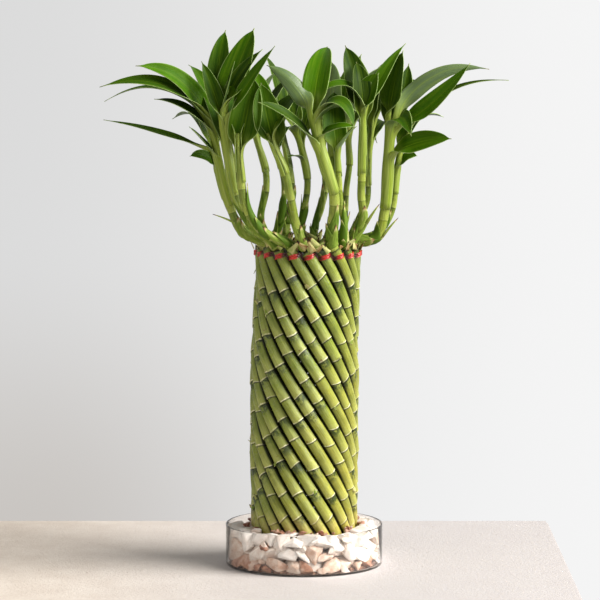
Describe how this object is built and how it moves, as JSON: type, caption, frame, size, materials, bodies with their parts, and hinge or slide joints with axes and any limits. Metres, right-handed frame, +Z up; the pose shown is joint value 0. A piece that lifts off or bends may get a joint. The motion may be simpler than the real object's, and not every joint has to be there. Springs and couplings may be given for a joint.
{
  "type": "lucky bamboo in a glass dish",
  "caption": "Tower of twisted lucky bamboo canes, tied at the top under leafy shoots and standing in white gravel in a clear round glass dish.",
  "frame": {"origin": "centre of the glass dish's underside, where the plant stands", "axes": "+Z up along the tower, -Y towards the side that the picture shows, +X to that side's right"},
  "size_m": [0.2971, 0.1762, 0.3961],
  "materials": {
    "clear_glass": "polished",
    "quartz_gravel": "matte",
    "red_wire": "satin",
    "green_cane": "satin",
    "green_stem": "satin",
    "green_leaf": "satin"
  },
  "bodies": {
    "root": {"glass_dish": "clear_glass", "gravel_bed": "quartz_gravel", "tie_wire": "red_wire", "cane_01": "green_cane", "cane_02": "green_cane", "cane_03": "green_cane", "cane_04": "green_cane", "cane_05": "green_cane", "cane_06": "green_cane", "cane_07": "green_cane", "cane_08": "green_cane", "cane_09": "green_cane", "cane_10": "green_cane", "cane_11": "green_cane", "cane_12": "green_cane", "cane_13": "green_cane", "cane_14": "green_cane", "cane_15": "green_cane", "cane_16": "green_cane", "cane_17": "green_cane", "cane_18": "green_cane", "cane_19": "green_cane", "cane_20": "green_cane", "shoot_01": "green_stem", "shoot_02": "green_stem", "shoot_03": "green_stem", "shoot_04": "green_stem", "shoot_05": "green_stem", "shoot_06": "green_stem", "shoot_07": "green_stem", "shoot_08": "green_stem", "shoot_09": "green_stem", "shoot_10": "green_stem", "shoot_11": "green_stem", "shoot_12": "green_stem", "shoot_13": "green_stem", "shoot_14": "green_stem", "shoot_15": "green_stem", "shoot_16": "green_stem", "shoot_17": "green_stem", "shoot_18": "green_stem", "leaves_01": "green_leaf", "leaves_02": "green_leaf", "leaves_03": "green_leaf", "leaves_04": "green_leaf", "leaves_05": "green_leaf", "leaves_06": "green_leaf", "leaves_07": "green_leaf", "leaves_08": "green_leaf", "leaves_09": "green_leaf", "leaves_10": "green_leaf", "leaves_11": "green_leaf", "leaves_12": "green_leaf", "leaves_13": "green_leaf", "leaves_14": "green_leaf", "leaves_15": "green_leaf", "leaves_16": "green_leaf", "leaves_17": "green_leaf", "leaves_18": "green_leaf"}
  },
  "joints": []
}
